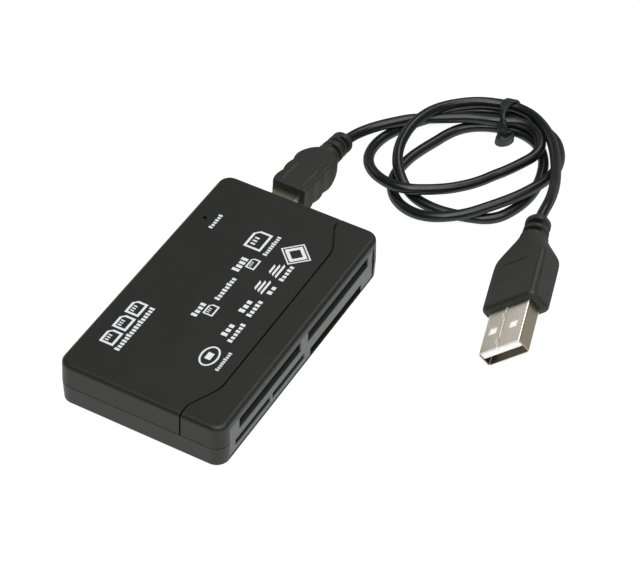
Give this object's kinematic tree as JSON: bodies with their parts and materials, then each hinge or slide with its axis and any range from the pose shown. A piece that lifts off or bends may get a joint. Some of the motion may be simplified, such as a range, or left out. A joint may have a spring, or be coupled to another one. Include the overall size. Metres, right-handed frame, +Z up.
{
  "type": "usb memory card reader",
  "caption": "Flat black memory card reader with card slots along one side, a shaped seam on top, and a detachable coiled lead with a flat host plug.",
  "frame": {"origin": "middle of the reader's underside", "axes": "+X along the reader towards the lead, -Y towards the card slots, +Z up"},
  "size_m": [0.1449, 0.0896, 0.0159],
  "materials": {
    "housing_plastic": "fine matt moulded black",
    "panel_plastic": "matt moulded black, a little greyer",
    "socket_plastic": "matt black moulding",
    "board_laminate": "green solder mask",
    "chip_resin": "moulded resin",
    "ceramic": "fired ceramic with tinned ends",
    "light_lens": "tinted clear lens",
    "contact_brass": "gold-plated spring strip",
    "socket_steel": "tinned sheet steel",
    "mini_shell_steel": "warm nickel-plated sheet",
    "usb_shell_steel": "bright nickel-plated sheet",
    "plug_white": "white moulded insulator",
    "plug_rubber": "soft matt black overmould",
    "cable_rubber": "smooth glossy black jacket",
    "tie_plastic": "flat black plastic strip over a wire"
  },
  "bodies": {
    "root": {"top_cover": "housing_plastic", "front_cover": "housing_plastic", "bottom_cover": "housing_plastic", "slot_panel": "panel_plastic", "circuit_board": "board_laminate", "controller_chip": "chip_resin", "crystal_can": "socket_steel", "voltage_regulator": "chip_resin", "chip_capacitors": "ceramic", "chip_resistors": "chip_resin", "activity_light": "light_lens", "usb_socket_shell": "socket_steel", "usb_socket_tongue": "socket_plastic", "usb_socket_contacts": "contact_brass", "upper_left_socket": "socket_plastic", "upper_left_contacts": "contact_brass", "upper_right_socket": "socket_plastic", "upper_right_contacts": "contact_brass", "lower_right_socket": "socket_plastic", "lower_right_contacts": "contact_brass", "micro_left_socket": "socket_plastic", "micro_left_lid": "socket_steel", "micro_left_contacts": "contact_brass", "micro_right_socket": "socket_plastic", "micro_right_lid": "socket_steel", "micro_right_contacts": "contact_brass", "rear_pin_header": "socket_plastic", "rear_header_pins": "contact_brass", "mini_plug_grip": "plug_rubber", "mini_plug_shell": "mini_shell_steel", "mini_plug_tongue": "socket_plastic", "mini_plug_contacts": "contact_brass", "cable_lead_in": "cable_rubber", "cable_coil": "cable_rubber", "cable_lead_out": "cable_rubber", "cable_tie": "tie_plastic", "usb_plug_grip": "plug_rubber", "usb_plug_shell": "usb_shell_steel", "usb_plug_tongue": "plug_white", "usb_plug_contacts": "contact_brass"}
  },
  "joints": []
}
